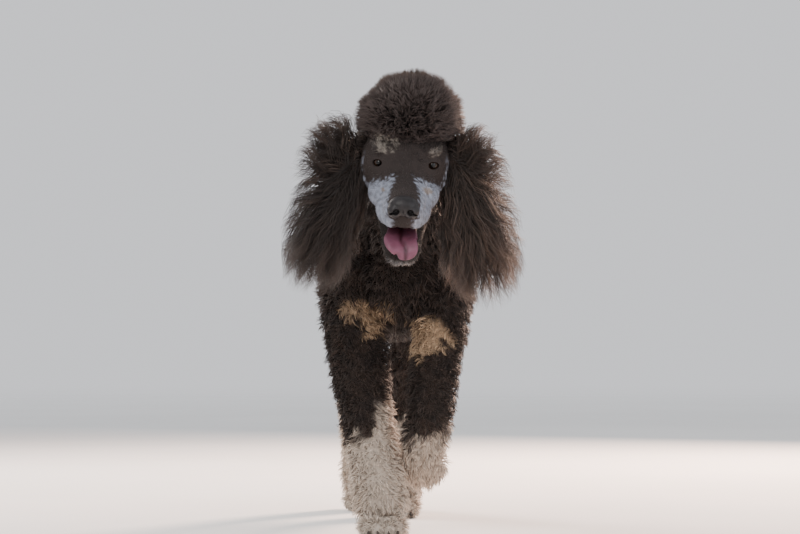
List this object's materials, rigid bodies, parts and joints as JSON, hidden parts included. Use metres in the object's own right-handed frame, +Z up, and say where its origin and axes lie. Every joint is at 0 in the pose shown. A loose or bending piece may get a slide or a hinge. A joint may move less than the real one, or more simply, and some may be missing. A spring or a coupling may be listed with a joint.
{
  "type": "standard poodle",
  "caption": "Life-size still model of a black and cream standard poodle in mid walk, head low, ears flung out, mouth open.",
  "frame": {"origin": "middle of the overall box, on the floor under the paws", "axes": "+Z up, the dog faces -Y, its left side is +X"},
  "size_m": [0.3228, 1.034, 0.6729],
  "materials": {
    "black_coat": "curly black coat with a warm brown cast",
    "cream_coat": "tight cream curls",
    "face_fur": "short clipped fur, black to grey",
    "nose_leather": "moist black",
    "tongue_skin": "moist pink",
    "eye_gloss": "glossy dark brown"
  },
  "bodies": {
    "root": {"chest": "black_coat", "ear_left": "black_coat", "ear_right": "black_coat", "eye_left": "eye_gloss", "eye_right": "eye_gloss", "foreleg_lower_left": "cream_coat", "foreleg_lower_right": "cream_coat", "foreleg_upper_left": "black_coat", "foreleg_upper_right": "black_coat", "forepaw_left": "cream_coat", "forepaw_right": "cream_coat", "head": "face_fur", "hindleg_lower_left": "cream_coat", "hindleg_lower_right": "cream_coat", "hindpaw_left": "cream_coat", "hindpaw_right": "cream_coat", "lower_jaw": "cream_coat", "neck": "black_coat", "nose": "nose_leather", "tail": "black_coat", "thigh_left": "black_coat", "thigh_right": "black_coat", "tongue": "tongue_skin", "topknot": "black_coat", "torso_rear": "black_coat"}
  },
  "joints": []
}
